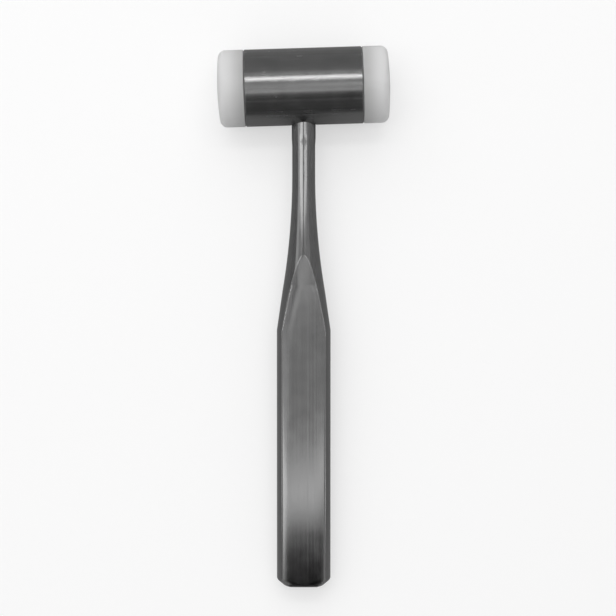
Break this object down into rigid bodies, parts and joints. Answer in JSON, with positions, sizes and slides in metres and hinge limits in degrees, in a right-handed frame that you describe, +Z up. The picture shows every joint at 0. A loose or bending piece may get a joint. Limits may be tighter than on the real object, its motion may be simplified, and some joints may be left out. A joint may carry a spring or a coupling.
{
  "type": "surgical mallet",
  "caption": "Bone mallet with a cylindrical steel head, a domed screw-in nylon face at each end, and a slim round neck that flares into a grip with milled flats.",
  "frame": {"origin": "on the table, under the middle of the mallet as it lies at rest on its head and the lower edge of its butt", "axes": "+X along the head towards the right face, +Y from the butt towards the head, +Z up; the handle slopes down towards the butt by 2.5 degrees, and leans 1.75 degrees towards -X at the butt"},
  "size_m": [0.0584, 0.183, 0.026],
  "materials": {
    "steel": "satin",
    "nylon": "satin"
  },
  "bodies": {
    "mallet": {"head_body": "steel", "handle": "steel"},
    "left_face": {"left_face": "nylon"},
    "right_face": {"right_face": "nylon"}
  },
  "joints": [
    {"name": "left_face_off", "type": "slide", "parent": "mallet", "child": "left_face", "axis": [-1, 0, 0], "range_m": [0, 0.014]},
    {"name": "right_face_off", "type": "slide", "parent": "mallet", "child": "right_face", "axis": [1, 0, 0], "range_m": [0, 0.014]}
  ]
}
